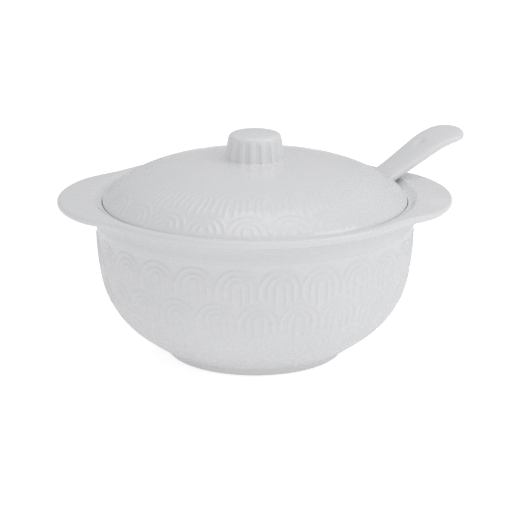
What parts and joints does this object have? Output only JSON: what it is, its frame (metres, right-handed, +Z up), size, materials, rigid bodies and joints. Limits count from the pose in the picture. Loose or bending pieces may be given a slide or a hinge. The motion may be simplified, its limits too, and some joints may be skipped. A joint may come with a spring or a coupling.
{
  "type": "soup tureen",
  "caption": "Round porcelain serving tureen with two flat ears, a domed lid with a fluted knob, and a ladle whose handle leaves through a notch in the lid.",
  "frame": {"origin": "on the bowl's axis, level with the surface that the foot ring stands on", "axes": "+Z up along the bowl's axis; +X through the middle of one ear, so the two ears lie along X; -Y is the front, and the ladle's handle leaves towards +X and a little towards +Y"},
  "size_m": [0.2691, 0.22, 0.145],
  "materials": {
    "body_glaze": "glossy white glaze",
    "lid_glaze": "glossy white glaze",
    "ladle_glaze": "glossy white glaze"
  },
  "bodies": {
    "tureen": {"tureen_body": "body_glaze"},
    "ladle": {"ladle": "ladle_glaze"},
    "lid": {"lid": "lid_glaze"}
  },
  "joints": [
    {"name": "ladle_lift", "type": "slide", "parent": "tureen", "child": "ladle", "axis": [0, 0, 1], "range_m": [0, 0.14]},
    {"name": "lid_lift", "type": "slide", "parent": "ladle", "child": "lid", "axis": [0, 0, 1], "range_m": [0, 0.14]}
  ]
}
